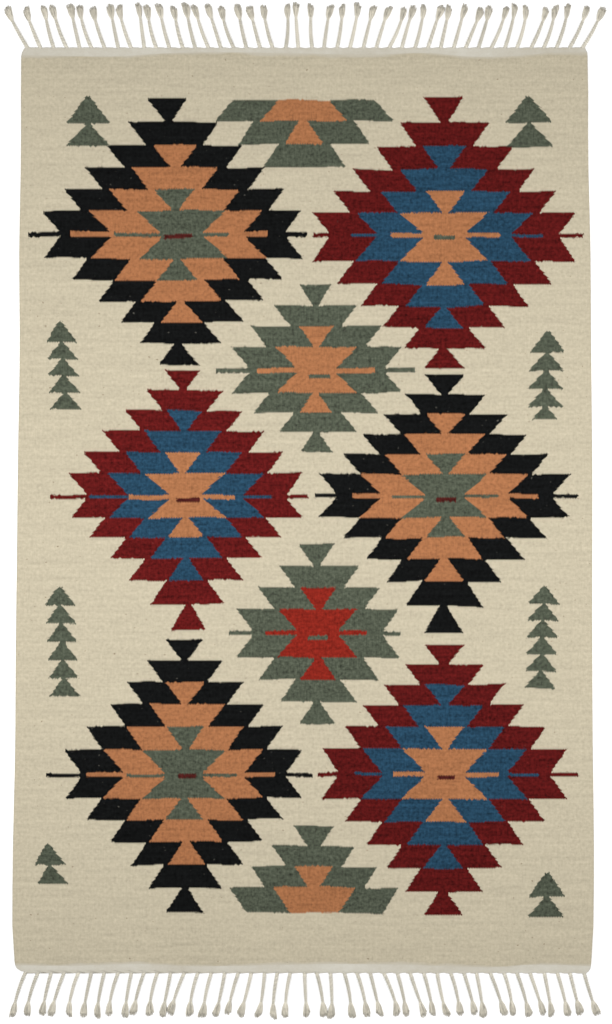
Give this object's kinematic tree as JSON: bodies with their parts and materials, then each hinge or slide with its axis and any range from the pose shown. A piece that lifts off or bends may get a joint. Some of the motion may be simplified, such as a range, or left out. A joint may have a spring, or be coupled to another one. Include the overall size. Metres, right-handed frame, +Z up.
{
  "type": "kilim rug",
  "caption": "Flat-woven wool rug with serrated diamonds on a cream ground, pale cotton end webs and a twisted cotton fringe at both ends",
  "frame": {"origin": "centre of the rug's footprint, tassels included, on the floor", "axes": "+X east across the rug, +Y north along it, +Z up out of the face"},
  "size_m": [1.05, 1.7722, 0.0048],
  "materials": {
    "wool_weave": "matte weft-faced tapestry weave in cream, black, dark red, slate blue, orange and olive green wool",
    "cotton_warp": "matte off-white cotton, plain woven at the ends and twisted into cords with loose tufts"
  },
  "bodies": {
    "root": {"kilim_field": "wool_weave", "fringe_north": "cotton_warp", "fringe_south": "cotton_warp"}
  },
  "joints": []
}
